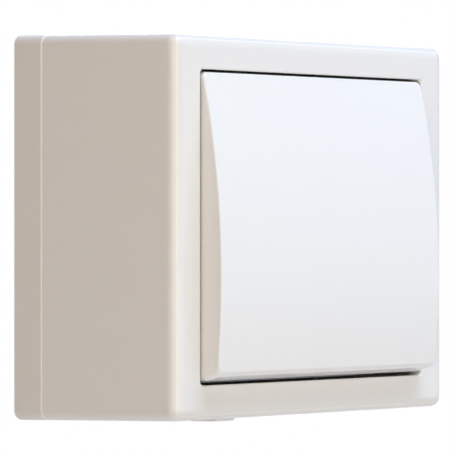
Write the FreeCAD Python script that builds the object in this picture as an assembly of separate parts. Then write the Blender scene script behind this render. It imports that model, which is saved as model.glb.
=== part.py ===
import FreeCAD, Part
import math
import os

# Surface mounted light switch, in millimetres.
# The origin is the centre of the face that lies on the wall.
# +Z is up, +X is to the right seen from the room, and the front looks along -Y.

V = FreeCAD.Vector

# Box: wall plate and housing
front_width = 75.0
box_depth = 48.0
draft_angle = 2.3
seam_height = 8.9
outline_radius = 2.1
front_edge_radius = 2.3
housing_wall = 2.0
frame_thickness = 2.4
seam_chamfer = 0.22

# How far a cut runs past the surface that it opens
overcut = 1.0

# Opening in the frame and the collar behind it
opening_width = 62.0
opening_chamfer = 0.25
opening_radius = 1.0
collar_depth = 3.6
collar_wall = 1.4
collar_draft = 5.0

# Wall plate
floor_thickness = 2.2
lip_height = 2.0
lip_wall = 1.3
lip_clearance = 0.2
back_edge_chamfer = 0.4
wall_slot_spacing = 60.0
wall_slot_length = 8.0
wall_slot_width = 4.4
wall_slot_ring = 1.2
wall_slot_rise = 1.0
knockout_width = 16.0
knockout_reach = 11.0
knockout_web = 0.9

# Rear cable entry and its grommet
entry_radius = 10.0
grommet_bore = 4.6
grommet_flange = 1.5
grommet_flange_height = 1.2
grommet_clearance = 0.1
grommet_dish_share = 0.6

# Snap hooks at the top of the wall plate
hook_spacing = 40.0
hook_width = 7.0
hook_rise = 0.8
hook_length = 1.6
hook_clearance = 0.15

# Latch tongue under the box, with a head that shows through the housing
latch_head_width = 5.6
latch_head_front = 27.0
latch_head_length = 8.3
latch_head_rise = 1.75
latch_head_radius = 0.6
latch_tongue_width = 8.0
latch_tongue_thickness = 1.5
latch_tongue_gap = 0.4
latch_tongue_nose = 2.0
latch_slit = 1.0
latch_clearance = 0.25

# Posts that carry the bracket
post_offset = 1.5
post_clearance = 0.3
post_tip_radius = 3.4
post_root_radius = 4.2
post_web_height = 12.0
post_web_thickness = 1.5

# Support bracket
bracket_depth = 11.0
bracket_thickness = 1.2
bracket_margin = 6.5
bracket_radius = 4.0
bracket_window_rim = 3.0
bracket_window_radius = 1.5
bracket_flange_length = 26.0
bracket_flange_height = 3.0
bracket_slot_length = 5.0

# Bracket screws
screw_radius = 1.45
screw_length = 11.0
screw_head_radius = 2.8
screw_head_height = 2.0
screw_slot_width = 0.8
screw_slot_depth = 0.9
head_round_share = 0.25
pilot_reserve = 2.0
hole_clearance = 0.05

# Rocker, drawn level and then tilted
rocker_gap = 0.6
rocker_radius = 1.3
rocker_edge_rise = 2.33
rocker_bow = 2.97
rocker_bevel_angle = 11.0
rocker_bevel_length = 4.4
rocker_skirt_clearance = 0.3
rocker_wall = 1.8
rocker_lip = 0.68
rocker_edge_radius = 0.4
rocker_rib_spacing = 28.0
rocker_rib_thickness = 1.3
rocker_cross_rib_depth = 2.0
rocker_tilt = 4.1

# Snap hooks inside the rocker
clip_spacing = 18.0
clip_width = 5.0
clip_thickness = 1.4
clip_clearance = 0.12
clip_barb = 0.7
clip_barb_height = 1.1
clip_nose = 0.5

# Carrier under the rocker
carrier_width = 38.0
carrier_height = 42.0
carrier_thickness = 2.0
carrier_window_width = 7.0
carrier_window_height = 26.0
trunnion_radius = 1.5
trunnion_length = 2.3
arm_thickness = 1.8
arm_inset = 0.1
arm_clearance = 0.4
arm_end_clearance = 0.8
arm_end_radius = 2.7
arm_root_width = 11.0
stem_radius = 4.0
stem_bore_radius = 2.35
stem_length = 15.3
stem_cap = 1.0

# Plunger and its spring
plunger_radius = 2.25
plunger_length = 8.9
plunger_tip_gap = 0.15
spring_radius = 1.9
spring_wire_radius = 0.25
spring_turns = 6

# Mechanism case
case_height = 40.0
case_depth = 18.0
case_wall = 1.8
case_radius = 1.5
cover_thickness = 2.0
cover_collar_wall = 3.5
cover_collar_clearance = 0.3
cover_slot_width = 10.0
cover_slot_height = 12.0
ear_thickness = 2.2
ear_width = 8.0
ear_end_radius = 2.8
ear_end_clearance = 0.5
running_clearance = 0.05
rivet_land = 3.0
rivet_inset = 3.0
rivet_radius = 1.0
rivet_head_radius = 2.0
rivet_head_height = 0.9
rivet_pillar_radius = 2.6

# Contact seesaw
seesaw_above_floor = 7.4
seesaw_thickness = 1.0
seesaw_width = 6.0
seesaw_end = 0.4
seesaw_ratio = 1.5
seesaw_lug_radius = 0.6
seesaw_lug_reach = 1.6
contact_spacing = 17.0
contact_radius = 1.6
contact_height = 0.7
contact_gap = 0.12

# Terminals
strip_thickness = 0.8
fork_clearance = 0.6
fork_width = 6.0
fork_rise = 1.1
clamp_spacing = 18.0
clamp_width = 7.0
clamp_height = 7.0
clamp_length = 9.0
clamp_wall_gap = 0.3
wire_radius = 1.7
wire_depth = 7.4
wire_hole_clearance = 0.2
terminal_screw_radius = 1.4
terminal_head_radius = 2.6
terminal_head_height = 1.6
terminal_hole_clearance = 0.4
tab_length = 5.0

# Places that follow from the sizes above
draft = math.tan(math.radians(draft_angle))
hollow_radius = outline_radius / 2
face_y = -box_depth
seam_y = -seam_height
floor_y = -floor_thickness
bracket_front_y = face_y + bracket_depth
bracket_back_y = bracket_front_y + bracket_thickness
pivot_y = bracket_front_y - arm_end_clearance - arm_end_radius
cover_back_y = bracket_back_y + cover_thickness
case_back_y = cover_back_y + case_depth
case_floor_y = case_back_y - case_wall
seesaw_y = case_floor_y - seesaw_above_floor
seesaw_tilt = seesaw_ratio * rocker_tilt
lip_half = front_width / 2 + draft * (box_depth - seam_height) - housing_wall - lip_clearance
rim_inner_half = lip_half - lip_wall
rocker_half = opening_width / 2 - rocker_gap
rocker_swing = rocker_half * math.sin(math.radians(rocker_tilt))
rocker_back_y = bracket_front_y - screw_head_height - rocker_skirt_clearance - rocker_swing
carrier_back_y = pivot_y - ear_end_radius - ear_end_clearance
carrier_front_y = carrier_back_y - carrier_thickness
arm_inner_x = carrier_width / 2 - arm_inset - arm_thickness
ear_outer_x = arm_inner_x - arm_clearance
window_half_x = ear_outer_x + cover_collar_clearance
window_half_z = case_height / 2 - bracket_window_rim
rivet_x = window_half_x + rivet_land
rivet_z = case_height / 2 - rivet_inset
case_half_x = rivet_x + rivet_inset
case_half_z = case_height / 2
post_x = case_half_x + post_offset
post_z = case_half_z + post_root_radius + post_clearance
bracket_half_x = post_x + bracket_margin
bracket_half_z = post_z + bracket_margin


def half_at(y):
    """Half of the housing's outline at a distance from the wall."""
    return front_width / 2 + draft * (box_depth + y)


def block(x0, x1, y0, y1, z0, z1):
    """Box between two planes on each axis, named in either order."""
    corner = V(min(x0, x1), min(y0, y1), min(z0, z1))
    return Part.makeBox(abs(x1 - x0), abs(y1 - y0), abs(z1 - z0), corner)


def rod(radius, start, end):
    """Cylinder from one point to another."""
    run = end - start
    return Part.makeCylinder(radius, run.Length, start, run)


def taper(half_0, y0, half_1, y1, radius):
    """Drafted block with rounded corners between two planes, each half given as (x, z)."""
    if y0 > y1:
        return taper(half_1, y1, half_0, y0, radius)
    wedge = Part.makeWedge(
        -half_0[0], y0, -half_0[1], -half_1[1], -half_1[0],
        half_0[0], y1, half_0[1], half_1[1], half_1[0],
    )
    middle = (y0 + y1) / 2
    slack = (y1 - y0) / 4
    return wedge.makeFillet(radius, edges_where(wedge, lambda p: abs(p.y - middle) < slack))


def prism(half_x, half_z, radius, y0, y1):
    """Straight block with rounded corners between two planes."""
    return taper((half_x, half_z), y0, (half_x, half_z), y1, radius)


def extrude_x(points, x0, x1):
    """Solid of a (y, z) profile between two planes across X, named in either order."""
    loop = [V(min(x0, x1), y, z) for y, z in points]
    face = Part.Face(Part.makePolygon(loop + [loop[0]]))
    return face.extrude(V(abs(x1 - x0), 0, 0))


def edges_where(shape, test):
    """Edges whose middle point passes a test."""
    found = []
    for edge in shape.Edges:
        middle = edge.valueAt((edge.FirstParameter + edge.LastParameter) / 2)
        if test(middle):
            found.append(edge)
    return found


def both_signs():
    """The two sides of a mirrored pair."""
    return (-1, 1)


def corner_places(half_x, half_z):
    """Four (x, z) places at the corners of a rectangle."""
    return [(i * half_x, k * half_z) for i in both_signs() for k in both_signs()]


def tilted(shape):
    """Turn a piece from the level position to the pressed-in top that is shown."""
    turned = shape.copy()
    turned.rotate(V(0, pivot_y, 0), V(1, 0, 0), -rocker_tilt)
    return turned


def tipped(shape):
    """Turn a piece of the contact seesaw from level to the closed lower way."""
    turned = shape.copy()
    turned.rotate(V(0, seesaw_y, 0), V(1, 0, 0), seesaw_tilt)
    return turned


def slot(half_length, half_width, y0, y1, x, z, upright):
    """Round-ended slot through a plate, along X or upright along Z."""
    run = half_length - half_width
    middle = block(-run, run, y0, y1, -half_width, half_width)
    ends = [rod(half_width, V(i * run, y0, 0), V(i * run, y1, 0)) for i in both_signs()]
    shape = middle.fuse(ends)
    if upright:
        shape.rotate(V(0, 0, 0), V(0, 1, 0), 90)
    shape.translate(V(x, 0, z))
    return shape


def wall_slot_places():
    """Two slots side by side and two above each other, as (x, z, upright)."""
    reach = wall_slot_spacing / 2
    across = [(i * reach, 0, False) for i in both_signs()]
    above = [(0, k * reach, True) for k in both_signs()]
    return across + above


def latch_window(clearance):
    """Prism of the latch head, grown by a clearance, from the tongue outwards."""
    half = latch_head_width / 2 + clearance
    front = face_y + latch_head_front - clearance
    back = face_y + latch_head_front + latch_head_length + clearance
    inner = -tongue_outer_z()
    reach = latch_head_rise
    points = [
        (front, inner),
        (front, -half_at(front) - reach),
        (back, -half_at(back) - reach),
        (back, inner),
    ]
    return extrude_x(points, -half, half)


def tongue_outer_z():
    """Distance of the tongue's outer face from the middle of the box."""
    nose = face_y + latch_head_front - latch_tongue_nose
    return half_at(nose) - housing_wall - latch_tongue_gap


def latch_tongue():
    """Sprung tongue on the wall plate, with the head that is pressed to free the housing."""
    outer = tongue_outer_z()
    half = latch_tongue_width / 2
    nose = face_y + latch_head_front - latch_tongue_nose
    tongue = block(-half, half, nose, floor_y, -outer, -outer + latch_tongue_thickness)
    head = latch_window(0)
    lowest = head.BoundBox.ZMin + latch_head_rise / 2
    rim = edges_where(head, lambda p: p.z < lowest)
    head = head.makeFillet(latch_head_radius, rim)
    return tongue.fuse(head)


def plate_hooks():
    """Two wedge hooks on the top of the lip."""
    front = seam_y - lip_height
    hooks = []
    for side in both_signs():
        x = side * hook_spacing / 2
        points = [
            (front, lip_half - lip_wall / 2),
            (front, lip_half),
            (front + hook_length, lip_half + hook_rise),
            (front + hook_length, lip_half - lip_wall / 2),
        ]
        hooks.append(extrude_x(points, x - hook_width / 2, x + hook_width / 2))
    return hooks


def base_plate():
    """Wall plate: floor, rim, lip, hooks, posts, slots, cable entry and latch tongue."""
    wall_half = half_at(0)
    rim_half = half_at(seam_y)
    rim = taper((wall_half, wall_half), 0, (rim_half, rim_half), seam_y, outline_radius)
    rim = rim.makeChamfer(back_edge_chamfer, edges_where(rim, lambda p: p.y > -back_edge_chamfer))
    rim = rim.makeChamfer(seam_chamfer, edges_where(rim, lambda p: p.y < seam_y + seam_chamfer))
    lip = prism(lip_half, lip_half, outline_radius, seam_y - lip_height, seam_y)
    hollow = prism(rim_inner_half, rim_inner_half, hollow_radius, seam_y - lip_height, floor_y)
    plate = rim.fuse(lip).cut(hollow)
    plate = plate.fuse(plate_hooks())

    half = latch_tongue_width / 2
    lip_front = seam_y - lip_height
    for side in both_signs():
        slit = block(
            side * half, side * (half + latch_slit), lip_front, seam_y,
            -lip_half - overcut, -rim_inner_half + overcut,
        )
        plate = plate.cut(slit)
    above_tongue = block(-half, half, lip_front, seam_y, -lip_half - overcut, -tongue_outer_z())
    plate = plate.cut(above_tongue)
    plate = plate.fuse(latch_tongue())

    for x, z in corner_places(post_x, post_z):
        length = floor_y - bracket_back_y
        post = Part.makeCone(post_root_radius, post_tip_radius, length, V(x, floor_y, z), V(0, -1, 0))
        side_x = math.copysign(1, x)
        side_z = math.copysign(1, z)
        web_y = floor_y - post_web_height
        reach = rim_inner_half
        half_web = post_web_thickness / 2
        web_x = block(x, side_x * reach, web_y, floor_y, z - half_web, z + half_web)
        web_z = block(x - half_web, x + half_web, web_y, floor_y, z, side_z * reach)
        plate = plate.fuse([post, web_x, web_z])
    for x, z in corner_places(post_x, post_z):
        pilot_end = V(x, bracket_front_y + screw_length + pilot_reserve, z)
        pilot = rod(screw_radius + hole_clearance, V(x, bracket_back_y, z), pilot_end)
        plate = plate.cut(pilot)

    for x, z, upright in wall_slot_places():
        half_length = wall_slot_length / 2
        half_width = wall_slot_width / 2
        ring = slot(
            half_length + wall_slot_ring, half_width + wall_slot_ring,
            floor_y - wall_slot_rise, floor_y, x, z, upright,
        )
        plate = plate.fuse(ring)
        hole = slot(half_length, half_width, floor_y - wall_slot_rise, 0, x, z, upright)
        plate = plate.cut(hole)

    entry = rod(entry_radius, V(0, floor_y, 0), V(0, 0, 0))
    plate = plate.cut(entry)
    knockout = block(
        -knockout_width / 2, knockout_width / 2, seam_y, floor_y,
        rim_inner_half - overcut, half_at(seam_y) - knockout_web,
    )
    return plate.cut(knockout)


def cable_grommet():
    """Soft ring that lines the cable entry, with a flange on each face of the floor's hole."""
    outer = entry_radius - grommet_clearance
    sleeve = rod(outer, V(0, floor_y - grommet_flange_height, 0), V(0, 0, 0))
    flange = rod(
        entry_radius + grommet_flange,
        V(0, floor_y - grommet_flange_height, 0), V(0, floor_y, 0),
    )
    dish_depth = floor_thickness * grommet_dish_share
    dish = Part.makeCone(
        grommet_bore, entry_radius - grommet_flange, dish_depth, V(0, -dish_depth, 0), V(0, 1, 0),
    )
    bore = rod(grommet_bore, V(0, floor_y - grommet_flange_height, 0), V(0, 0, 0))
    return sleeve.fuse(flange).cut(bore.fuse(dish))


def housing():
    """Drafted box with its front frame, collar, hook pockets, latch window and knock-out."""
    seam_half = half_at(seam_y)
    face_half = front_width / 2
    shell = taper((seam_half, seam_half), seam_y, (face_half, face_half), face_y, outline_radius)
    front_rim = edges_where(shell, lambda p: p.y < face_y + front_edge_radius / 2)
    shell = shell.makeFillet(front_edge_radius, front_rim)
    back_rim = edges_where(shell, lambda p: p.y > seam_y - seam_chamfer)
    shell = shell.makeChamfer(seam_chamfer, back_rim)

    inner_face_y = face_y + frame_thickness
    inner_seam = seam_half - housing_wall
    inner_face = half_at(inner_face_y) - housing_wall
    hollow = taper(
        (inner_seam, inner_seam), seam_y, (inner_face, inner_face), inner_face_y, hollow_radius,
    )

    collar_y = face_y + collar_depth
    collar_growth = collar_depth * math.tan(math.radians(collar_draft))
    mouth_half = opening_width / 2 - opening_chamfer
    throat_half = mouth_half + collar_growth
    collar_half = throat_half + collar_wall
    collar = prism(collar_half, collar_half, opening_radius + collar_wall, inner_face_y, collar_y)
    mouth = taper((mouth_half, mouth_half), face_y, (throat_half, throat_half), collar_y, opening_radius)
    edge = taper(
        (opening_width / 2, opening_width / 2), face_y,
        (mouth_half, mouth_half), face_y + opening_chamfer, opening_radius,
    )
    body = shell.cut(hollow).fuse(collar).cut(mouth).cut(edge)

    front = seam_y - lip_height - hook_clearance
    for side in both_signs():
        x = side * hook_spacing / 2
        half = hook_width / 2 + hook_clearance
        top = lip_half + hook_rise + hook_clearance
        back = front + hook_length + 2 * hook_clearance
        pocket = block(x - half, x + half, front, back, inner_face, top)
        body = body.cut(pocket)
    body = body.cut(latch_window(latch_clearance))

    knock_half = knockout_width / 2
    knock_y = seam_y - knockout_reach
    knock_top = half_at(knock_y) - knockout_web
    round_y = knock_y + knock_half
    recess = block(-knock_half, knock_half, round_y, seam_y, 0, knock_top)
    recess = recess.fuse(rod(knock_half, V(0, round_y, 0), V(0, round_y, knock_top)))
    return body.cut(recess)


def bow_cylinder(inset):
    """Large cylinder across X whose surface is the rocker's bowed front, set in by an inset."""
    half_edge = rocker_half - rocker_bevel_length * math.tan(math.radians(rocker_bevel_angle))
    radius = (half_edge ** 2 + rocker_bow ** 2) / (2 * rocker_bow)
    centre_y = face_y - rocker_edge_rise - rocker_bow + radius
    half = rocker_half + overcut
    return rod(radius - inset, V(-half, centre_y, 0), V(half, centre_y, 0))


def rocker_form(inset):
    """Rocker's form with sharp edges, or its hollow when set in by the wall."""
    slope = math.tan(math.radians(rocker_bevel_angle))
    bevel_y = face_y - rocker_edge_rise + rocker_bevel_length
    tip_y = face_y - rocker_edge_rise - rocker_bow - overcut
    half = rocker_half - inset
    tip_half = half - (bevel_y - tip_y) * slope
    skirt = block(-half, half, bevel_y, rocker_back_y, -half, half)
    cap = Part.makeWedge(-half, tip_y, -tip_half, -half, -half, half, bevel_y, tip_half, half, half)
    return skirt.fuse(cap).removeSplitter().common(bow_cylinder(inset))


def rounded_corners(form, inset):
    """Round the four corners of the rocker's outline, from the skirt to the front."""
    half = rocker_half - inset
    low_z = half - rocker_bevel_length

    def at_corner(p):
        return abs(p.x) > half - rocker_edge_radius and abs(p.z) > low_z

    return form.makeFillet(max(rocker_radius - inset, rocker_edge_radius), edges_where(form, at_corner))


def rocker_outside():
    """Outer form: a flat lip under the front edge, round corners and finely rounded front edges."""
    front = face_y - rocker_edge_rise
    form = rocker_form(0)
    bottom = edges_where(form, lambda p: p.y < front + rocker_lip and p.z < -rocker_half / 2)
    form = form.makeChamfer(rocker_lip, bottom)
    form = rounded_corners(form, 0)
    return form.makeFillet(rocker_edge_radius, edges_where(form, lambda p: p.y < front + rocker_lip / 2))


def rocker_inside(inset):
    """Hollow form, set in from the outside."""
    return rounded_corners(rocker_form(inset), inset)


def rocker():
    """Bowed key: hollow cap with skirt, ribs that seat on the carrier and four snap hooks."""
    shell = rocker_outside().cut(rocker_inside(rocker_wall))
    inside = rocker_inside(rocker_wall / 2)
    far = face_y - rocker_edge_rise - rocker_bow
    ribs = []
    for side in both_signs():
        x = side * rocker_rib_spacing / 2
        half = rocker_rib_thickness / 2
        ribs.append(block(x - half, x + half, far, carrier_front_y, -rocker_half, rocker_half))
        z = side * (carrier_height / 2 - clip_thickness)
        cross_y = face_y - rocker_cross_rib_depth / 2
        ribs.append(block(-rocker_half, rocker_half, far, cross_y, z - half, z + half))
    for place in ribs:
        shell = shell.fuse(place.common(inside))
    for side_z in both_signs():
        for side_x in both_signs():
            shell = shell.fuse(rocker_clip(side_x * clip_spacing / 2, side_z).common(inside))
    return tilted(shell.removeSplitter())


def rocker_clip(x, side):
    """Snap hook that reaches past the carrier's edge and under it."""
    near = carrier_height / 2 + clip_clearance
    far = near + clip_thickness
    under = carrier_back_y + clip_clearance
    tip = under + clip_barb_height
    top = face_y - rocker_edge_rise - rocker_bow
    points = [
        (top, side * near),
        (top, side * far),
        (tip, side * far),
        (tip, side * (near + clip_nose)),
        (under, side * (near - clip_barb)),
        (under, side * near),
    ]
    return extrude_x(points, x - clip_width / 2, x + clip_width / 2)


def carrier_arm(side):
    """Bearing arm of the carrier with its trunnion."""
    x0 = side * arm_inner_x
    x1 = side * (arm_inner_x + arm_thickness)
    root = arm_root_width / 2
    points = [
        (carrier_back_y, -root),
        (pivot_y, -arm_end_radius),
        (pivot_y, arm_end_radius),
        (carrier_back_y, root),
    ]
    web = extrude_x(points, x0, x1)
    end = rod(arm_end_radius, V(x0, pivot_y, 0), V(x1, pivot_y, 0))
    pin = rod(trunnion_radius, V(x0 - side * trunnion_length, pivot_y, 0), V(x1, pivot_y, 0))
    return web.fuse([end, pin])


def rocker_carrier():
    """Cradle: plate with windows, two bearing arms and the hollow stem."""
    half_x = carrier_width / 2
    half_z = carrier_height / 2
    plate = prism(half_x, half_z, rocker_radius, carrier_front_y, carrier_back_y)
    for side in both_signs():
        middle = side * (stem_radius + (arm_inner_x - stem_radius) / 2)
        half = carrier_window_width / 2
        plate = plate.cut(
            block(
                middle - half, middle + half, carrier_front_y, carrier_back_y,
                -carrier_window_height / 2, carrier_window_height / 2,
            )
        )
    stem_end = carrier_front_y + stem_length
    stem = rod(stem_radius, V(0, carrier_front_y, 0), V(0, stem_end, 0))
    bore = rod(stem_bore_radius, V(0, carrier_front_y + stem_cap, 0), V(0, stem_end, 0))
    arms = [carrier_arm(side) for side in both_signs()]
    return tilted(plate.fuse([stem] + arms).cut(bore).removeSplitter())


def plunger_tip_y():
    """Tip of the plunger on the level carrier, just in front of the level seesaw."""
    return seesaw_y - seesaw_thickness / 2 - plunger_tip_gap


def plunger():
    """Domed pin that slides in the stem."""
    tip = plunger_tip_y()
    start = V(0, tip - plunger_length, 0)
    dome_centre = V(0, tip - plunger_radius, 0)
    pin = rod(plunger_radius, start, dome_centre)
    dome = Part.makeSphere(plunger_radius, dome_centre)
    return tilted(pin.fuse(dome).removeSplitter())


def plunger_spring():
    """Coil spring between the stem's cap and the plunger."""
    seat = carrier_front_y + stem_cap
    end = plunger_tip_y() - plunger_length
    run = end - seat - 2 * spring_wire_radius
    pitch = run / spring_turns
    path = Part.makeHelix(pitch, run, spring_radius)
    profile = Part.Wire(Part.makeCircle(spring_wire_radius, V(spring_radius, 0, 0), V(0, 1, 0)))
    coil = Part.Wire(path).makePipeShell([profile], True, True)
    coil.rotate(V(0, 0, 0), V(1, 0, 0), -90)
    coil.translate(V(0, seat + spring_wire_radius, 0))
    return tilted(coil)


def support_bracket():
    """Steel yoke with a window, four screw slots, rivet holes and two folded edges."""
    plate = prism(bracket_half_x, bracket_half_z, bracket_radius, bracket_front_y, bracket_back_y)
    plate = plate.cut(
        prism(window_half_x, window_half_z, bracket_window_radius, bracket_front_y, bracket_back_y)
    )
    for side in both_signs():
        plate = plate.fuse(
            block(
                side * bracket_half_x, side * (bracket_half_x - bracket_thickness),
                bracket_front_y, bracket_back_y + bracket_flange_height,
                -bracket_flange_length / 2, bracket_flange_length / 2,
            )
        )
    for x, z in corner_places(post_x, post_z):
        half_width = screw_radius + 2 * hole_clearance
        plate = plate.cut(
            slot(bracket_slot_length / 2, half_width, bracket_front_y, bracket_back_y, x, z, False)
        )
    for x, z in corner_places(rivet_x, rivet_z):
        hole = rod(rivet_radius + hole_clearance, V(x, bracket_front_y, z), V(x, bracket_back_y, z))
        plate = plate.cut(hole)
    return plate.removeSplitter()


def slotted_screw(radius, length, head_radius, head_height):
    """Cheese-head screw along +Y with the underside of its head at the origin."""
    shank = rod(radius, V(0, 0, 0), V(0, length, 0))
    head = rod(head_radius, V(0, -head_height, 0), V(0, 0, 0))
    rounding = head_height * head_round_share
    head = head.makeFillet(rounding, edges_where(head, lambda p: p.y < rounding - head_height))
    driver = block(
        -head_radius, head_radius, -head_height, -head_height + screw_slot_depth,
        -screw_slot_width / 2, screw_slot_width / 2,
    )
    return shank.fuse(head).cut(driver)


def bracket_screws():
    """Four screws through the bracket into the posts."""
    screws = []
    for x, z in corner_places(post_x, post_z):
        screw = slotted_screw(screw_radius, screw_length, screw_head_radius, screw_head_height)
        screw.translate(V(x, bracket_front_y, z))
        screws.append(screw)
    return Part.makeCompound(screws)


def terminal_places():
    """The three wire clamps as (x, side): way two and common above, way one below."""
    reach = clamp_spacing / 2
    return [(-reach, 1), (reach, 1), (-reach, -1)]


def clamp_middle_z(side):
    """Height of a wire clamp's bore."""
    return side * (case_half_z - case_wall - clamp_wall_gap - clamp_height / 2)


def clamp_middle_y():
    """Depth of a clamp screw, half way along the clamp."""
    return case_floor_y - clamp_length / 2


def mechanism_body():
    """Insulating case: walls, rivet pillars, wire holes, screw holes and contact pads."""
    outside = prism(case_half_x, case_half_z, case_radius, cover_back_y, case_back_y)
    pocket = prism(
        case_half_x - case_wall, case_half_z - case_wall, case_radius / 2, cover_back_y, case_floor_y,
    )
    case = outside.cut(pocket)
    for x, z in corner_places(rivet_x, rivet_z):
        pillar = rod(rivet_pillar_radius, V(x, cover_back_y, z), V(x, case_floor_y, z))
        case = case.fuse(pillar.common(outside))
    for x, z in corner_places(rivet_x, rivet_z):
        bore = rod(rivet_radius + hole_clearance, V(x, cover_back_y, z), V(x, case_back_y, z))
        case = case.cut(bore)
    for x, side in terminal_places():
        z = clamp_middle_z(side)
        y = clamp_middle_y()
        wire_hole = rod(wire_radius + wire_hole_clearance, V(x, case_floor_y, z), V(x, case_back_y, z))
        access = rod(
            terminal_head_radius + terminal_hole_clearance,
            V(x, y, side * (case_half_z - case_wall)), V(x, y, side * case_half_z),
        )
        case = case.cut(wire_hole).cut(access)
    for side in both_signs():
        z0 = side * (contact_spacing / 2 - contact_radius)
        z1 = side * (contact_spacing / 2 + contact_radius)
        pad = block(
            -seesaw_width / 2, seesaw_width / 2,
            way_strip_front_y() + strip_thickness, case_floor_y, z0, z1,
        )
        case = case.fuse(pad)
    return case.removeSplitter()


def mechanism_cover():
    """Front cover with the collar that fills the bracket's window and the two bearing ears."""
    plate = prism(case_half_x, case_half_z, case_radius, bracket_back_y, cover_back_y)
    collar_x = window_half_x - cover_collar_clearance
    collar_z = window_half_z - cover_collar_clearance
    collar = prism(collar_x, collar_z, bracket_window_radius, bracket_front_y, bracket_back_y)
    hollow = prism(
        collar_x - cover_collar_wall, collar_z - cover_collar_wall, bracket_window_radius,
        bracket_front_y, bracket_back_y,
    )
    cover = plate.fuse(collar.cut(hollow))
    slot_x = cover_slot_width / 2
    slot_z = cover_slot_height / 2
    cover = cover.cut(block(-slot_x, slot_x, bracket_front_y, cover_back_y, -slot_z, slot_z))
    for side in both_signs():
        x0 = side * ear_outer_x
        x1 = side * (ear_outer_x - ear_thickness)
        web = block(x0, x1, pivot_y, bracket_back_y, -ear_width / 2, ear_width / 2)
        end = rod(ear_end_radius, V(x0, pivot_y, 0), V(x1, pivot_y, 0))
        bore = rod(trunnion_radius + running_clearance, V(x0, pivot_y, 0), V(x1, pivot_y, 0))
        trim = block(x0, x1, pivot_y, pivot_y + ear_end_radius, -ear_width, ear_width)
        ear = web.fuse(end.cut(trim)).cut(bore)
        cover = cover.fuse(ear)
    for x, z in corner_places(rivet_x, rivet_z):
        bore = rod(rivet_radius + hole_clearance, V(x, bracket_back_y, z), V(x, cover_back_y, z))
        cover = cover.cut(bore)
    return cover.removeSplitter()


def mechanism_rivets():
    """Four rivets through bracket, cover and body, with a head at each end."""
    rivets = []
    for x, z in corner_places(rivet_x, rivet_z):
        shank = rod(rivet_radius, V(x, bracket_front_y, z), V(x, case_back_y, z))
        front = bracket_front_y - rivet_head_height
        head = rod(rivet_head_radius, V(x, front, z), V(x, bracket_front_y, z))
        tail = rod(rivet_head_radius, V(x, case_back_y, z), V(x, case_back_y + rivet_head_height, z))
        rivets.append(shank.fuse([head, tail]).removeSplitter())
    return Part.makeCompound(rivets)


def way_contact_y():
    """Front of a fixed contact, just behind the moving contact when its way is closed."""
    tilt = math.radians(seesaw_tilt)
    reach = contact_spacing / 2 + contact_radius
    depth = seesaw_thickness / 2 + contact_height
    return seesaw_y + depth * math.cos(tilt) + reach * math.sin(tilt) + contact_gap


def way_strip_front_y():
    """Front of the strips that carry the fixed contacts."""
    return way_contact_y() + contact_height


def contact_seesaw():
    """Copper blade with two round lugs that rock in the common terminal's fork."""
    half_x = seesaw_width / 2
    half_z = contact_spacing / 2 + contact_radius + seesaw_end
    y0 = seesaw_y - seesaw_thickness / 2
    y1 = seesaw_y + seesaw_thickness / 2
    blade = prism(half_x, half_z, seesaw_thickness, y0, y1)
    reach = half_x + seesaw_lug_reach
    lugs = rod(seesaw_lug_radius, V(-reach, seesaw_y, 0), V(reach, seesaw_y, 0))
    return tipped(blade.fuse(lugs).removeSplitter())


def moving_contacts():
    """Two silver buttons on the back of the blade."""
    y0 = seesaw_y + seesaw_thickness / 2
    buttons = []
    for side in both_signs():
        z = side * contact_spacing / 2
        buttons.append(tipped(rod(contact_radius, V(0, y0, z), V(0, y0 + contact_height, z))))
    return Part.makeCompound(buttons)


def fixed_contacts():
    """Two silver buttons on the front of the way strips."""
    buttons = []
    for side in both_signs():
        z = side * contact_spacing / 2
        buttons.append(rod(contact_radius, V(0, way_contact_y(), z), V(0, way_strip_front_y(), z)))
    return Part.makeCompound(buttons)


def way_terminal(side):
    """Brass strip from a fixed contact to its wire clamp, with a tab against the clamp."""
    clamp_face = -clamp_spacing / 2 + clamp_width / 2
    middle = abs(clamp_middle_z(side))
    y0 = way_strip_front_y()
    y1 = y0 + strip_thickness
    z0 = contact_spacing / 2 - contact_radius
    z1 = middle + tab_length / 2
    strip = block(clamp_face, contact_radius * 2, y0, y1, z0, z1)
    tab_y = case_floor_y - clamp_length + strip_thickness
    tab = block(clamp_face, clamp_face + strip_thickness, tab_y, y1, middle - tab_length / 2, z1)
    shape = strip.fuse(tab).removeSplitter()
    if side < 0:
        shape = shape.mirror(V(0, 0, 0), V(0, 0, 1))
    return shape


def common_terminal():
    """Brass fork that seats the blade's lugs, with a strip along the floor to its clamp."""
    floor_front = case_floor_y - strip_thickness
    ear_in = seesaw_width / 2 + fork_clearance
    ear_out = ear_in + strip_thickness
    half = fork_width / 2
    fork = block(-ear_out, ear_out, floor_front, case_floor_y, -half, half)
    top = seesaw_y - fork_rise
    seat = seesaw_y + (seesaw_lug_radius + running_clearance) * math.sqrt(2)
    notch_half = seat - top
    for side in both_signs():
        x0 = side * ear_in
        x1 = side * ear_out
        ear = block(x0, x1, top, floor_front, -half, half)
        notch = extrude_x([(top, -notch_half), (top, notch_half), (seat, 0)], x0, x1)
        fork = fork.fuse(ear.cut(notch))
    clamp_face = clamp_spacing / 2 - clamp_width / 2
    middle = clamp_middle_z(1)
    z1 = middle + tab_length / 2
    strip = block(ear_in, clamp_face, floor_front, case_floor_y, -half, z1)
    tab_y = case_floor_y - clamp_length + strip_thickness
    z0 = middle - tab_length / 2
    tab = block(clamp_face - strip_thickness, clamp_face, tab_y, case_floor_y, z0, z1)
    return fork.fuse([strip, tab]).removeSplitter()


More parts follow.
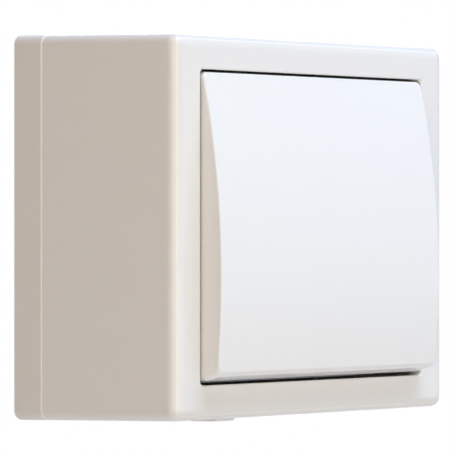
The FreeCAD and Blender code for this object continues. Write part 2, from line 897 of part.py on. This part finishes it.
def terminal_clamps():
    """Three brass clamps, each with a wire bore from the back and a threaded screw hole."""
    clamps = []
    for x, side in terminal_places():
        z = clamp_middle_z(side)
        half_x = clamp_width / 2
        half_z = clamp_height / 2
        y = clamp_middle_y()
        front = case_floor_y - clamp_length
        clamp = block(x - half_x, x + half_x, front, case_floor_y, z - half_z, z + half_z)
        bore = rod(wire_radius, V(x, case_floor_y - wire_depth, z), V(x, case_floor_y, z))
        thread = rod(terminal_screw_radius + hole_clearance, V(x, y, z), V(x, y, z + side * half_z))
        clamps.append(clamp.cut(bore).cut(thread))
    return Part.makeCompound(clamps)


def terminal_screws():
    """Three clamp screws, reached through the top and bottom of the case."""
    screws = []
    length = clamp_height / 2 - wire_radius
    for x, side in terminal_places():
        screw = slotted_screw(
            terminal_screw_radius, length, terminal_head_radius, terminal_head_height,
        )
        screw.rotate(V(0, 0, 0), V(1, 0, 0), -90 * side)
        z = clamp_middle_z(side) + side * clamp_height / 2
        screw.translate(V(x, clamp_middle_y(), z))
        screws.append(screw)
    return Part.makeCompound(screws)


PIECES = {
    "base_plate": base_plate,
    "cable_grommet": cable_grommet,
    "housing": housing,
    "rocker": rocker,
    "rocker_carrier": rocker_carrier,
    "plunger": plunger,
    "plunger_spring": plunger_spring,
    "support_bracket": support_bracket,
    "bracket_screws": bracket_screws,
    "mechanism_body": mechanism_body,
    "mechanism_cover": mechanism_cover,
    "mechanism_rivets": mechanism_rivets,
    "contact_seesaw": contact_seesaw,
    "moving_contacts": moving_contacts,
    "common_terminal": common_terminal,
    "way_one_terminal": lambda: way_terminal(-1),
    "way_two_terminal": lambda: way_terminal(1),
    "fixed_contacts": fixed_contacts,
    "terminal_clamps": terminal_clamps,
    "terminal_screws": terminal_screws,
}

os.makedirs("parts", exist_ok=True)
for name, make in PIECES.items():
    piece = make()
    piece.exportStep("parts/" + name + ".step")
    print(name, "solids", len(piece.Solids), "volume", round(piece.Volume, 2), "valid", piece.isValid())
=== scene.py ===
import bpy
import bmesh
import math
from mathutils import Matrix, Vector


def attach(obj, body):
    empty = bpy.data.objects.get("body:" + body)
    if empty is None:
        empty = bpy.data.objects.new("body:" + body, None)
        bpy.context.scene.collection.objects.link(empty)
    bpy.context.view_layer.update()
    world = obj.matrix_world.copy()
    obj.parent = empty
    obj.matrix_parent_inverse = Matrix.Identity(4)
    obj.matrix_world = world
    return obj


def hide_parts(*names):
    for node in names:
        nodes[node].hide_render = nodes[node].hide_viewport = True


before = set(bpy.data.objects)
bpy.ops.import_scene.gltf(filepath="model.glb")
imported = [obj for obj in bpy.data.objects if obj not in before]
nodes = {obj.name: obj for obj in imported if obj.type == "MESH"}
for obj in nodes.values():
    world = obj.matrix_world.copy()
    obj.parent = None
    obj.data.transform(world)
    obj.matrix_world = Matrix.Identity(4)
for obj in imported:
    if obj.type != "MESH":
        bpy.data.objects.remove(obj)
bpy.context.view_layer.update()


# Wall plate. The shallow tray that is screwed to the wall: its rim is the thin band behind the
# seam, and its latch tongue shows under the box. Injection-moulded ABS in nearly the white of the
# box, with the duller polish that a mould gives a part nobody looks at.
mm = 0.001
seam_depth = 8.9 * mm
seam_line = 0.2 * mm
# The colour of the painted highlights along the seam rim and the front ridge of the box.
painted_highlight_white = (0.97, 0.95, 0.92)


class Signal:
    """One output socket of a node tree, which takes part in plain arithmetic."""

    def __init__(self, tree, socket=None):
        self.tree = tree
        self.socket = socket

    def node(self, kind, settings=None, inputs=None, output=0):
        """Add any node: its settings first, then the values or links of its sockets."""
        made = self.tree.nodes.new(kind)
        for name, value in (settings or {}).items():
            setattr(made, name, value)
        for name, value in (inputs or {}).items():
            if isinstance(value, Signal):
                self.tree.links.new(value.socket, made.inputs[name])
            else:
                made.inputs[name].default_value = value
        return Signal(self.tree, made.outputs[output])

    def calculate(self, operation, first, second):
        """Add a Math node on two values."""
        return self.node("ShaderNodeMath", {"operation": operation}, {0: first, 1: second})

    def __abs__(self):
        return self.node("ShaderNodeMath", {"operation": "ABSOLUTE"}, {0: self})

    def __add__(self, other):
        return self.calculate("ADD", self, other)

    def __radd__(self, other):
        return self.calculate("ADD", other, self)

    def __sub__(self, other):
        return self.calculate("SUBTRACT", self, other)

    def __rsub__(self, other):
        return self.calculate("SUBTRACT", other, self)

    def __mul__(self, other):
        return self.calculate("MULTIPLY", self, other)

    def __rmul__(self, other):
        return self.calculate("MULTIPLY", other, self)

    def __truediv__(self, other):
        return self.calculate("DIVIDE", self, other)

    def __rtruediv__(self, other):
        return self.calculate("DIVIDE", other, self)


def coordinate(place, axis):
    """One coordinate of a point: X, Y or Z."""
    return place.node("ShaderNodeSeparateXYZ", None, {0: place}, axis)


def noise(place, scale, detail=2.0):
    """Soft noise from 0 to 1 with this many waves a metre."""
    return place.node(
        "ShaderNodeTexNoise", None, {"Vector": place, "Scale": scale, "Detail": detail}
    )


def between(factor, low, high):
    """Run from one number to another as the factor goes from 0 to 1."""
    return factor * (high - low) + low


def blend(factor, first, second):
    """Run from one colour to another, each three numbers or the output of a node."""
    ends = [end if isinstance(end, Signal) else (*end, 1.0) for end in (first, second)]
    return factor.node(
        "ShaderNodeMix", {"data_type": "RGBA"}, {0: factor, 6: ends[0], 7: ends[1]}, 2
    )


def relief(height, depth):
    """Turn the light as on a surface that stands up by this depth where the height is 1."""
    return height.node(
        "ShaderNodeBump", None, {"Height": height, "Strength": 1.0, "Distance": depth}
    )


def new_finish(name):
    """A material with a plain shader, and the point on the piece that its pattern reads."""
    finish = bpy.data.materials.new(name)
    finish.use_nodes = True
    tree = finish.node_tree
    tree.nodes.clear()
    start = Signal(tree)
    place = start.node("ShaderNodeTexCoord", output="Object")
    shader = tree.nodes.new("ShaderNodeBsdfPrincipled")
    output = tree.nodes.new("ShaderNodeOutputMaterial")
    tree.links.new(shader.outputs[0], output.inputs[0])
    return finish, place, shader


def connect(shader, colour, roughness=None, normal=None):
    """Give a shader what changes over the surface."""
    for name, value in (("Base Color", colour), ("Roughness", roughness), ("Normal", normal)):
        if value is not None:
            value.tree.links.new(value.socket, shader.inputs[name])


def moulding(name, dark, light, roughness, peel, grain, painted_highlight=None):
    """Moulded plastic: orange peel, fine grain, a faint tone and, if a mask is given, a painted
    highlight.
    """
    finish, place, shader = new_finish(name)
    shader.inputs["IOR"].default_value = 1.5
    shade = noise(place, scale=160.0, detail=5.0)
    height = noise(place, scale=620.0, detail=1.0) * peel + noise(place, scale=7000.0) * grain
    tone = blend(shade, dark, light)
    if painted_highlight:
        tone = blend(painted_highlight(place), tone, painted_highlight_white)
    connect(shader, tone, between(shade, *roughness), relief(height, 0.01 * mm))
    return finish


def dress(name, finish):
    """Give a CAD node its finish."""
    nodes[name].data.materials.clear()
    nodes[name].data.materials.append(finish)


def painted_seam_highlight(place):
    """Painted highlight: a lighter line along the sharp rim of the seam, for the light it catches.
    """
    away = abs(coordinate(place, "Y") + seam_depth) * (1.0 / seam_line)
    faded = place.calculate("MAXIMUM", away - 1.0, 0.0)
    return 1.0 - place.calculate("MINIMUM", faded, 1.0)


# The lighter line along the seam rim of the plate is a painted highlight.
plate_white = moulding(
    "plate_white", (0.81, 0.80, 0.78), (0.82, 0.81, 0.79),
    roughness=(0.36, 0.46), peel=1.0, grain=0.5, painted_highlight=painted_seam_highlight,
)
dress("base_plate", plate_white)

# Cable grommet. A soft ring pressed into the entry in the wall plate, so that the cable doesn't
# rub on the plastic. Grey TPE rubber, matt, with the bloom and dust that such rubber picks up.
finish, place, shader = new_finish("grommet_rubber")
bloom = noise(place, scale=260.0, detail=4.0)
skin = noise(place, scale=5200.0, detail=3.0)
dusty_grey = blend(bloom, (0.10, 0.10, 0.105), (0.17, 0.17, 0.175))
connect(shader, dusty_grey, between(bloom, 0.65, 0.85), relief(skin, 0.02 * mm))
dress("cable_grommet", finish)

# Housing. The drafted box that clips over the wall plate, with a rounded front frame round the
# rocker. ABS from a polished mould: a satin gloss with a very light orange peel.
front_depth = 48.0 * mm
ridge_reach = 37.0 * mm
ridge_fade = mm / 3.0


def painted_ridge_highlight(place):
    """Painted highlight: a lighter line along the ridge round the front of the box, for its light.
    """
    spread = place.node("ShaderNodeVectorMath", {"operation": "ABSOLUTE"}, {0: place})
    reach = place.calculate("MAXIMUM", coordinate(spread, "X"), coordinate(spread, "Z"))
    behind_front = coordinate(place, "Y") + front_depth
    away = abs(reach + behind_front - ridge_reach) * (1.0 / ridge_fade)
    return 1.0 - place.calculate("MINIMUM", away, 1.0)


# The lighter line round the front ridge of the box is a painted highlight.
housing_white = moulding(
    "housing_white", (0.852, 0.847, 0.838), (0.861, 0.856, 0.847),
    roughness=(0.17, 0.23), peel=1.0, grain=0.15, painted_highlight=painted_ridge_highlight,
)
dress("housing", housing_white)

# Support bracket. A square steel yoke that carries the mechanism on the four posts, stamped and
# folded from zinc-plated sheet, so it shows the rolled grain under a spangled plating.
metal_roughness = (0.28, 0.48)


def rolled_metal(name, dark, light, stretch=(1.0, 1.0, 1.0)):
    """Rolled, drawn or plated metal: a mottled skin over fine grain, drawn out if stretched."""
    finish, place, shader = new_finish(name)
    stretched = place.node("ShaderNodeMapping", None, {"Vector": place, "Scale": stretch})
    lines = noise(stretched, scale=900.0, detail=3.0)
    mottle = noise(place, scale=500.0, detail=4.0)
    shader.inputs["Metallic"].default_value = 1.0
    tone = blend(mottle, dark, light)
    connect(shader, tone, between(mottle, *metal_roughness), relief(lines, 0.008 * mm))
    return finish


zinc_sheet = rolled_metal("zinc_sheet", (0.52, 0.53, 0.54), (0.68, 0.69, 0.70), (1.0, 1.0, 0.06))
dress("support_bracket", zinc_sheet)

# Bracket screws. Four cheese-head screws that cut their own coarse thread in the plastic posts
# and pull the bracket on to them. Zinc-plated steel, rolled thread, a plain slot for the driver.
# The sizes are in millimetres.
bracket_sizes = {
    "Shank radius": 1.45, "Shank length": 11.0, "Thread depth": 0.3, "Pitch": 1.1,
    "Head radius": 2.8, "Head height": 2.0, "Slot width": 0.8, "Slot depth": 0.9,
}
run_out_share = 1.0 / 14.0
rounding_share = 0.25
past_edges = 3.0
post_reach = 24.5 * mm
bracket_face = -37.0 * mm
outward = (0.0, -1.0, 0.0)
turn_seed = 5
shortest_edge = 0.001 * mm
smooth_angle = math.radians(32.0)


def new_growth(name, sizes):
    """Empty Geometry Nodes tree with its places, named sizes and finish as inputs."""
    tree = bpy.data.node_groups.new(name, "GeometryNodeTree")
    tree.interface.new_socket("Geometry", in_out="OUTPUT", socket_type="NodeSocketGeometry")
    tree.interface.new_socket("Places", in_out="INPUT", socket_type="NodeSocketGeometry")
    for size in sizes:
        tree.interface.new_socket(size, in_out="INPUT", socket_type="NodeSocketFloat")
    tree.interface.new_socket("Finish", in_out="INPUT", socket_type="NodeSocketMaterial")
    entry = tree.nodes.new("NodeGroupInput")
    return tree, {socket.name: Signal(tree, socket) for socket in entry.outputs}


def together(parts):
    """Several shapes as one geometry."""
    joined = parts[0].node("GeometryNodeJoinGeometry")
    node = joined.socket.node
    for part in parts:
        joined.tree.links.new(part.socket, node.inputs[0])
    return joined


def lifted(shape, height):
    """A shape moved up its own axis."""
    offset = shape.node("ShaderNodeCombineXYZ", None, {"Z": height})
    return shape.node("GeometryNodeTransform", None, {"Geometry": shape, "Translation": offset})


def plant(tree, given, shape):
    """Set the shape at every place, turned to the place's axis, and close the tree."""
    axis = shape.node(
        "GeometryNodeInputNamedAttribute", {"data_type": "FLOAT_VECTOR"}, {"Name": "axis"}
    )
    upright = shape.node("FunctionNodeAlignRotationToVector", {"axis": "Z"}, {"Vector": axis})
    chance = shape.node(
        "FunctionNodeRandomValue", {"data_type": "FLOAT"},
        {2: 0.0, 3: math.tau, "Seed": turn_seed}, 1,
    )
    spin = shape.node(
        "FunctionNodeAxisAngleToRotation", None, {"Axis": (0.0, 0.0, 1.0), "Angle": chance}
    )
    turned = shape.node(
        "FunctionNodeRotateRotation", {"rotation_space": "LOCAL"},
        {"Rotation": upright, "Rotate By": spin},
    )
    copies = shape.node(
        "GeometryNodeInstanceOnPoints", None,
        {"Points": given["Places"], "Instance": shape, "Rotation": turned},
    )
    real = copies.node("GeometryNodeRealizeInstances", None, {"Geometry": copies})
    done = real.node(
        "GeometryNodeSetMaterial", None, {"Geometry": real, "Material": given["Finish"]}
    )
    leave = tree.nodes.new("NodeGroupOutput")
    tree.links.new(done.socket, leave.inputs[0])


def grow(name, tree, places, sizes, finish):
    """Run a tree on its places, each a point and an axis, and keep the result as a plain mesh."""
    seats = bpy.data.meshes.new(name + "_places")
    seats.from_pydata([point for point, axis in places], [], [])
    axes = seats.attributes.new("axis", "FLOAT_VECTOR", "POINT")
    for spot, (point, axis) in zip(axes.data, places):
        spot.vector = axis
    piece = bpy.data.objects.new(name, seats)
    bpy.context.scene.collection.objects.link(piece)
    growth = piece.modifiers.new("growth", "NODES")
    growth.node_group = tree
    for socket in tree.interface.items_tree:
        if socket.in_out == "INPUT" and socket.name in sizes:
            growth[socket.identifier] = sizes[socket.name] * mm
        if socket.name == "Finish":
            growth[socket.identifier] = finish
    ready = piece.evaluated_get(bpy.context.evaluated_depsgraph_get())
    shape = bpy.data.meshes.new_from_object(ready)
    piece.modifiers.remove(growth)
    piece.data = shape
    # The cuts leave edges of no length, and the result has an empty finish before its own.
    clean = bmesh.new()
    clean.from_mesh(shape)
    bmesh.ops.dissolve_degenerate(clean, dist=shortest_edge, edges=clean.edges)
    for face in clean.faces:
        face.material_index = 0
    clean.to_mesh(shape)
    clean.free()
    shape.materials.clear()
    shape.materials.append(finish)
    shape.shade_smooth()
    shape.set_sharp_from_angle(angle=smooth_angle)
    return piece


screw_tree, given = new_growth("slotted_screw", bracket_sizes)
start = Signal(screw_tree)
core_radius = given["Shank radius"] - given["Thread depth"]
core = start.node(
    "GeometryNodeMeshCylinder", None,
    {"Vertices": 32, "Radius": core_radius, "Depth": given["Shank length"]},
)
core = lifted(core, given["Shank length"] * -0.5)
thread_length = given["Shank length"] - given["Pitch"]
helix = start.node(
    "GeometryNodeCurveSpiral", None,
    {
        "Resolution": 32, "Rotations": thread_length / given["Pitch"],
        "Start Radius": core_radius, "End Radius": core_radius, "Height": thread_length,
    },
)
helix = start.node("GeometryNodeSetCurveNormal", {"mode": "Z_UP"}, {"Curve": helix})
ridge = start.node(
    "GeometryNodeCurvePrimitiveCircle", None, {"Resolution": 3, "Radius": given["Thread depth"]}
)
along = start.node("GeometryNodeSplineParameter")
run_out = start.calculate("MINIMUM", along, 1.0 - along) * (1.0 / run_out_share)
thread = start.node(
    "GeometryNodeCurveToMesh", None,
    {
        "Curve": helix, "Profile Curve": ridge, "Fill Caps": True,
        "Scale": start.calculate("MINIMUM", run_out, 1.0),
    },
)
thread = lifted(thread, given["Shank length"] * -1.0)
head = start.node(
    "GeometryNodeMeshCylinder", None,
    {
        "Vertices": 48, "Side Segments": 12,
        "Radius": given["Head radius"], "Depth": given["Head height"],
    },
)
spot = start.node("GeometryNodeInputPosition")
rim = given["Head height"] * rounding_share
past = (coordinate(spot, "Z") - given["Head height"] * 0.5 + rim) / rim
past = start.calculate("MAXIMUM", past, 0.0)
inset = rim - rim * start.node("ShaderNodeMath", {"operation": "SQRT"}, {0: 1.0 - past * past})
shrink = 1.0 - inset / given["Head radius"]
shrink = start.node("ShaderNodeCombineXYZ", None, {"X": shrink, "Y": shrink, "Z": 1.0})
rounded = start.node("ShaderNodeVectorMath", {"operation": "MULTIPLY"}, {0: spot, 1: shrink})
head = start.node("GeometryNodeSetPosition", None, {"Geometry": head, "Position": rounded})
slot_size = start.node(
    "ShaderNodeCombineXYZ", None,
    {
        "X": given["Head radius"] * past_edges, "Y": given["Slot width"],
        "Z": given["Slot depth"] * 2.0,
    },
)
slot = start.node("GeometryNodeMeshCube", None, {"Size": slot_size})
slot = lifted(slot, given["Head height"] * 0.5)
head = start.node(
    "GeometryNodeMeshBoolean", {"solver": "EXACT"}, {"Mesh 1": head, "Mesh 2": slot}
)
head = lifted(head, given["Head height"] * 0.5)
plant(screw_tree, given, together([core, thread, head]))

zinc_screw = rolled_metal("zinc_screw", (0.55, 0.55, 0.54), (0.72, 0.72, 0.70))
bracket_places = [
    ((x, bracket_face, z), outward)
    for x in (-post_reach, post_reach) for z in (-post_reach, post_reach)
]
piece = grow("post_screws", screw_tree, bracket_places, bracket_sizes, zinc_screw)
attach(piece, "box")
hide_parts("bracket_screws")

# Terminal screws. Three short machine screws in the brass clamps, reached through the top and
# the bottom of the case. They pinch the wires, and have the same zinc plating.
terminal_sizes = {
    "Shank radius": 1.4, "Shank length": 1.8, "Thread depth": 0.2, "Pitch": 0.5,
    "Head radius": 2.6, "Head height": 1.6, "Slot width": 0.8, "Slot depth": 0.9,
}
clamp_depth = -22.1 * mm
clamp_end = 17.9 * mm
clamp_reach = 9.0 * mm
terminal_places = [
    ((x, clamp_depth, side * clamp_end), (0.0, 0.0, side))
    for x, side in ((-clamp_reach, 1.0), (clamp_reach, 1.0), (-clamp_reach, -1.0))
]
piece = grow("wire_screws", screw_tree, terminal_places, terminal_sizes, zinc_screw)
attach(piece, "box")
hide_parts("terminal_screws")

# Mechanism body and cover. The insulating case of the switch, pressed from a mineral-filled
# thermoset that stands the arc: matt off-white, a little creamier and rougher for the body.
body_cream = moulding(
    "body_cream", (0.58, 0.56, 0.50), (0.66, 0.64, 0.58),
    roughness=(0.5, 0.65), peel=1.5, grain=1.5,
)
cover_cream = moulding(
    "cover_cream", (0.68, 0.67, 0.62), (0.74, 0.73, 0.68),
    roughness=(0.42, 0.56), peel=1.2, grain=1.0,
)
dress("mechanism_body", body_cream)
dress("mechanism_cover", cover_cream)

# Mechanism rivets. Four rivets hold bracket, cover and body together: bright nickel-plated steel,
# with a low domed head at each end and the dimple that the riveting tool leaves in it.
rivet_sizes = {"Shank radius": 1.0, "Grip": 21.2, "Head radius": 1.98, "Head height": 0.85}
dome_rise = 1.15
dimple_share = 0.7
dimple_lift = 0.35
rivet_across = 20.0 * mm
rivet_up = 17.0 * mm
rivet_middle = -26.4 * mm

rivet_tree, given = new_growth("domed_rivet", rivet_sizes)
start = Signal(rivet_tree)
shank = start.node(
    "GeometryNodeMeshCylinder", None,
    {"Vertices": 32, "Radius": given["Shank radius"], "Depth": given["Grip"]},
)
ball = start.node("GeometryNodeMeshUVSphere", None, {"Segments": 40, "Rings": 20, "Radius": 1.0})
dome_height = given["Head height"] * dome_rise
flat = start.node(
    "ShaderNodeCombineXYZ", None,
    {"X": given["Head radius"], "Y": given["Head radius"], "Z": dome_height},
)
dome = start.node("GeometryNodeTransform", None, {"Geometry": ball, "Scale": flat})
cutter_width = given["Head radius"] * past_edges
cutter_height = given["Head height"] * 4.0
cutter_size = start.node(
    "ShaderNodeCombineXYZ", None, {"X": cutter_width, "Y": cutter_width, "Z": cutter_height}
)
cutter = start.node("GeometryNodeMeshCube", None, {"Size": cutter_size})
cutter = lifted(cutter, cutter_height * -0.5)
dimple = start.node(
    "GeometryNodeMeshUVSphere", None,
    {"Segments": 24, "Rings": 12, "Radius": given["Shank radius"] * dimple_share},
)
dimple = lifted(dimple, dome_height + given["Shank radius"] * dimple_lift)
dome = start.node(
    "GeometryNodeMeshBoolean", {"solver": "EXACT"},
    {"Mesh 1": dome, "Mesh 2": together([cutter, dimple])},
)
near_dome = lifted(dome, given["Grip"] * 0.5)
far_dome = start.node(
    "GeometryNodeTransform", None, {"Geometry": near_dome, "Rotation": (math.pi, 0.0, 0.0)}
)
plant(rivet_tree, given, together([shank, near_dome, far_dome]))

nickel = rolled_metal("nickel", (0.60, 0.57, 0.52), (0.74, 0.71, 0.66))
rivet_places = [
    ((x, rivet_middle, z), outward)
    for x in (-rivet_across, rivet_across) for z in (-rivet_up, rivet_up)
]
piece = grow("case_rivets", rivet_tree, rivet_places, rivet_sizes, nickel)
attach(piece, "box")
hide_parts("mechanism_rivets")

# Contact blade. The rocking changeover blade, stamped from copper alloy strip: rolled grain
# along its length and the brown tint of copper that has lain in air.
copper_strip = rolled_metal(
    "copper_strip", (0.60, 0.32, 0.20), (0.80, 0.47, 0.32), (1.0, 1.0, 0.05)
)
dress("contact_seesaw", copper_strip)

# Contacts. Four silver buttons, two riveted on the blade and two on the way strips, dull white
# from the pressing and slightly tarnished.
silver = rolled_metal("contact_silver", (0.70, 0.69, 0.66), (0.88, 0.87, 0.84))
dress("moving_contacts", silver)
dress("fixed_contacts", silver)

# Terminals and clamps. Brass strips that run from the contacts to three brass wire clamps. The
# strips show the grain of rolled sheet, and the clamps the finer lines of drawn bar.
brass_strip = rolled_metal(
    "brass_strip", (0.62, 0.45, 0.19), (0.80, 0.62, 0.30), (0.05, 1.0, 1.0)
)
brass_bar = rolled_metal("brass_bar", (0.58, 0.42, 0.17), (0.76, 0.58, 0.27), (1.0, 0.05, 1.0))
dress("common_terminal", brass_strip)
dress("way_one_terminal", brass_strip)
dress("way_two_terminal", brass_strip)
dress("terminal_clamps", brass_bar)

# Rocker carrier and plunger. The cradle under the rocker turns on its two trunnions and pushes
# the plunger over the blade. Both are matt nylon, light grey for the cradle and paler for the pin.
carrier_nylon = moulding(
    "carrier_nylon", (0.60, 0.59, 0.54), (0.67, 0.66, 0.61),
    roughness=(0.38, 0.5), peel=1.0, grain=0.6,
)
plunger_nylon = moulding(
    "plunger_nylon", (0.76, 0.76, 0.75), (0.82, 0.82, 0.81),
    roughness=(0.29, 0.38), peel=0.6, grain=0.2,
)
dress("rocker_carrier", carrier_nylon)
dress("plunger", plunger_nylon)

# Plunger spring. A compression spring of drawn stainless wire inside the stem, with an end turn
# closed at each side. It keeps the plunger on the blade, and stands tilted with the rocker.
spring_sizes = {"Coil radius": 1.9, "Wire radius": 0.25, "Height": 9.75}
active_turns = 5.0
closed_turns = 2.0
closed_spacing = 2.04
pivot_depth = -40.5 * mm
rest_tilt = math.radians(4.1)
seat_ahead = 4.05 * mm

coil_tree, given = new_growth("coil_spring", spring_sizes)
start = Signal(coil_tree)
all_turns = active_turns + closed_turns
coil = start.node(
    "GeometryNodeCurveSpiral", None,
    {
        "Resolution": 40, "Rotations": all_turns, "Start Radius": given["Coil radius"],
        "End Radius": given["Coil radius"], "Height": given["Height"],
    },
)
turn_number = start.node("GeometryNodeSplineParameter") * all_turns
closed_pitch = given["Wire radius"] * closed_spacing
open_pitch = (given["Height"] - closed_pitch * closed_turns) * (1.0 / active_turns)
past_first = start.calculate("MAXIMUM", turn_number - closed_turns * 0.5, 0.0)
open_part = start.calculate("MINIMUM", past_first, active_turns)
climb = open_part * open_pitch + (turn_number - open_part) * closed_pitch
spot = start.node("GeometryNodeInputPosition")
climbed = start.node(
    "ShaderNodeCombineXYZ", None,
    {"X": coordinate(spot, "X"), "Y": coordinate(spot, "Y"), "Z": climb},
)
coil = start.node("GeometryNodeSetPosition", None, {"Geometry": coil, "Position": climbed})
coil = start.node("GeometryNodeSetCurveNormal", {"mode": "Z_UP"}, {"Curve": coil})
wire = start.node(
    "GeometryNodeCurvePrimitiveCircle", None, {"Resolution": 12, "Radius": given["Wire radius"]}
)
coil = start.node(
    "GeometryNodeCurveToMesh", None, {"Curve": coil, "Profile Curve": wire, "Fill Caps": True}
)
plant(coil_tree, given, coil)

spring_steel = rolled_metal("spring_steel", (0.46, 0.45, 0.43), (0.62, 0.61, 0.59))
seat_depth = pivot_depth - seat_ahead * math.cos(rest_tilt)
seat_point = (0.0, seat_depth, seat_ahead * math.sin(rest_tilt))
stem_axis = (0.0, math.cos(rest_tilt), -math.sin(rest_tilt))
piece = grow("stem_spring", coil_tree, [(seat_point, stem_axis)], spring_sizes, spring_steel)
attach(piece, "key")
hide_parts("plunger_spring")

# Rocker. The large bowed key, moulded in a slightly whiter and glossier ABS than the box, so
# that marks wipe off it.
rocker_white = moulding(
    "rocker_white", (0.882, 0.888, 0.895), (0.89, 0.896, 0.903),
    roughness=(0.17, 0.22), peel=0.8, grain=0.1,
)
dress("rocker", rocker_white)

# Stage. A floor of pale warm paper well below the part, which hangs above it as on its wall. What
# is seen of it is half paper, which keeps the part's shadow, and half plain white.
floor_z = -0.12
floor_half = 0.55
white_share = 0.5


def background_ray(start):
    """1 for a ray from the camera, a gloss or glass, which sees the background white."""
    seen = start.node("ShaderNodeLightPath", output="Is Camera Ray")
    outputs = seen.socket.node.outputs
    for name in ("Is Glossy Ray", "Is Transmission Ray"):
        seen = start.calculate("MAXIMUM", seen, Signal(start.tree, outputs[name]))
    return seen


floor_mesh = bpy.data.meshes.new("stage_floor")
floor_mesh.from_pydata(
    [
        (-floor_half, -floor_half, floor_z), (floor_half, -floor_half, floor_z),
        (floor_half, floor_half, floor_z), (-floor_half, floor_half, floor_z),
    ],
    [],
    [(0, 1, 2, 3)],
)
floor = bpy.data.objects.new("stage_floor", floor_mesh)
bpy.context.scene.collection.objects.link(floor)
finish, place, shader = new_finish("stage_paper")
connect(shader, blend(noise(place, scale=30.0), (0.81, 0.765, 0.71), (0.83, 0.785, 0.73)))
shader.inputs["Roughness"].default_value = 0.9
pure_white = (1.0, 1.0, 1.0, 1.0)
glow = place.node("ShaderNodeEmission", None, {"Color": pure_white, "Strength": 1.0})
paper = Signal(finish.node_tree, shader.outputs[0])
seen_white = background_ray(place) * white_share
shown = place.node("ShaderNodeMixShader", None, {0: seen_white, 1: paper, 2: glow})
floor_output = finish.node_tree.nodes["Material Output"]
finish.node_tree.links.new(shown.socket, floor_output.inputs[0])
floor_mesh.materials.append(finish)

# Light. The room is white where it is seen and dim where it lights the part. A cool key shines
# from above and in front, a warm window from the left with a narrow strip beside it, and fills
# from the right, from below, from the top left and from behind.
room_strength = 0.12
lamp_target = (0.0, -0.03, 0.0)

world = bpy.data.worlds.new("studio")
bpy.context.scene.world = world
world.use_nodes = True
world_tree = world.node_tree
world_tree.nodes.clear()
start = Signal(world_tree)
room = start.node("ShaderNodeBackground", None, {"Color": pure_white, "Strength": room_strength})
white = start.node("ShaderNodeBackground", None, {"Color": pure_white, "Strength": 1.0})
mixed = start.node("ShaderNodeMixShader", None, {0: background_ray(start), 1: room, 2: white})
world_output = world_tree.nodes.new("ShaderNodeOutputWorld")
world_tree.links.new(mixed.socket, world_output.inputs["Surface"])


def soft_box(name, place, size, watts, colour):
    """Rectangular lamp that faces the part."""
    data = bpy.data.lights.new(name, "AREA")
    data.shape = "RECTANGLE"
    data.size, data.size_y = size
    data.energy = watts
    data.color = colour
    lamp = bpy.data.objects.new(name, data)
    lamp.location = place
    sight = Vector(lamp_target) - Vector(place)
    lamp.rotation_euler = sight.to_track_quat("-Z", "Y").to_euler()
    bpy.context.scene.collection.objects.link(lamp)


soft_box("key", (0.1, -0.5, 0.95), size=(0.7, 0.4), watts=10.0, colour=(0.68, 0.81, 1.0))
soft_box("left_window", (-1.0, -0.7, 0.0), size=(0.8, 0.8), watts=4.8, colour=(1.0, 0.75, 0.505))
soft_box("edge_strip", (-0.34, -1.05, 0.0), size=(0.05, 0.9), watts=1.6, colour=(0.95, 1.0, 0.5))
soft_box("right_fill", (0.9, -0.8, 0.2), size=(0.6, 0.6), watts=0.75, colour=(0.5, 0.55, 1.0))
soft_box("low_bounce", (0.0, -0.45, -0.11), size=(0.5, 0.2), watts=0.39, colour=(1.0, 0.86, 0.87))
soft_box("top_left", (-0.55, 0.0, 0.9), size=(0.5, 0.5), watts=0.5, colour=(1.0, 0.3, 0.2))
soft_box("back_fill", (0.5, 0.9, 0.3), size=(0.8, 0.8), watts=4.0, colour=(1.0, 0.97, 0.94))

# Camera. A long lens that looks level from the left at the height of the middle of the switch.
# Its place, turn, lens and shift were fitted to the edges of the box in the photograph.
turn = 0.739
distance = 0.59928
aim_y = -0.024
camera_height = 0.0000727
camera_data = bpy.data.cameras.new("camera")
camera_data.sensor_width = 36.0
camera_data.lens = 229.07
camera_data.shift_x = -0.01687
camera = bpy.data.objects.new("camera", camera_data)
camera.location = (-distance * math.sin(turn), aim_y - distance * math.cos(turn), camera_height)
camera.rotation_euler = (math.pi / 2, 0.0, -turn)
bpy.context.scene.collection.objects.link(camera)
bpy.context.scene.camera = camera
bpy.context.scene.view_settings.view_transform = "Standard"
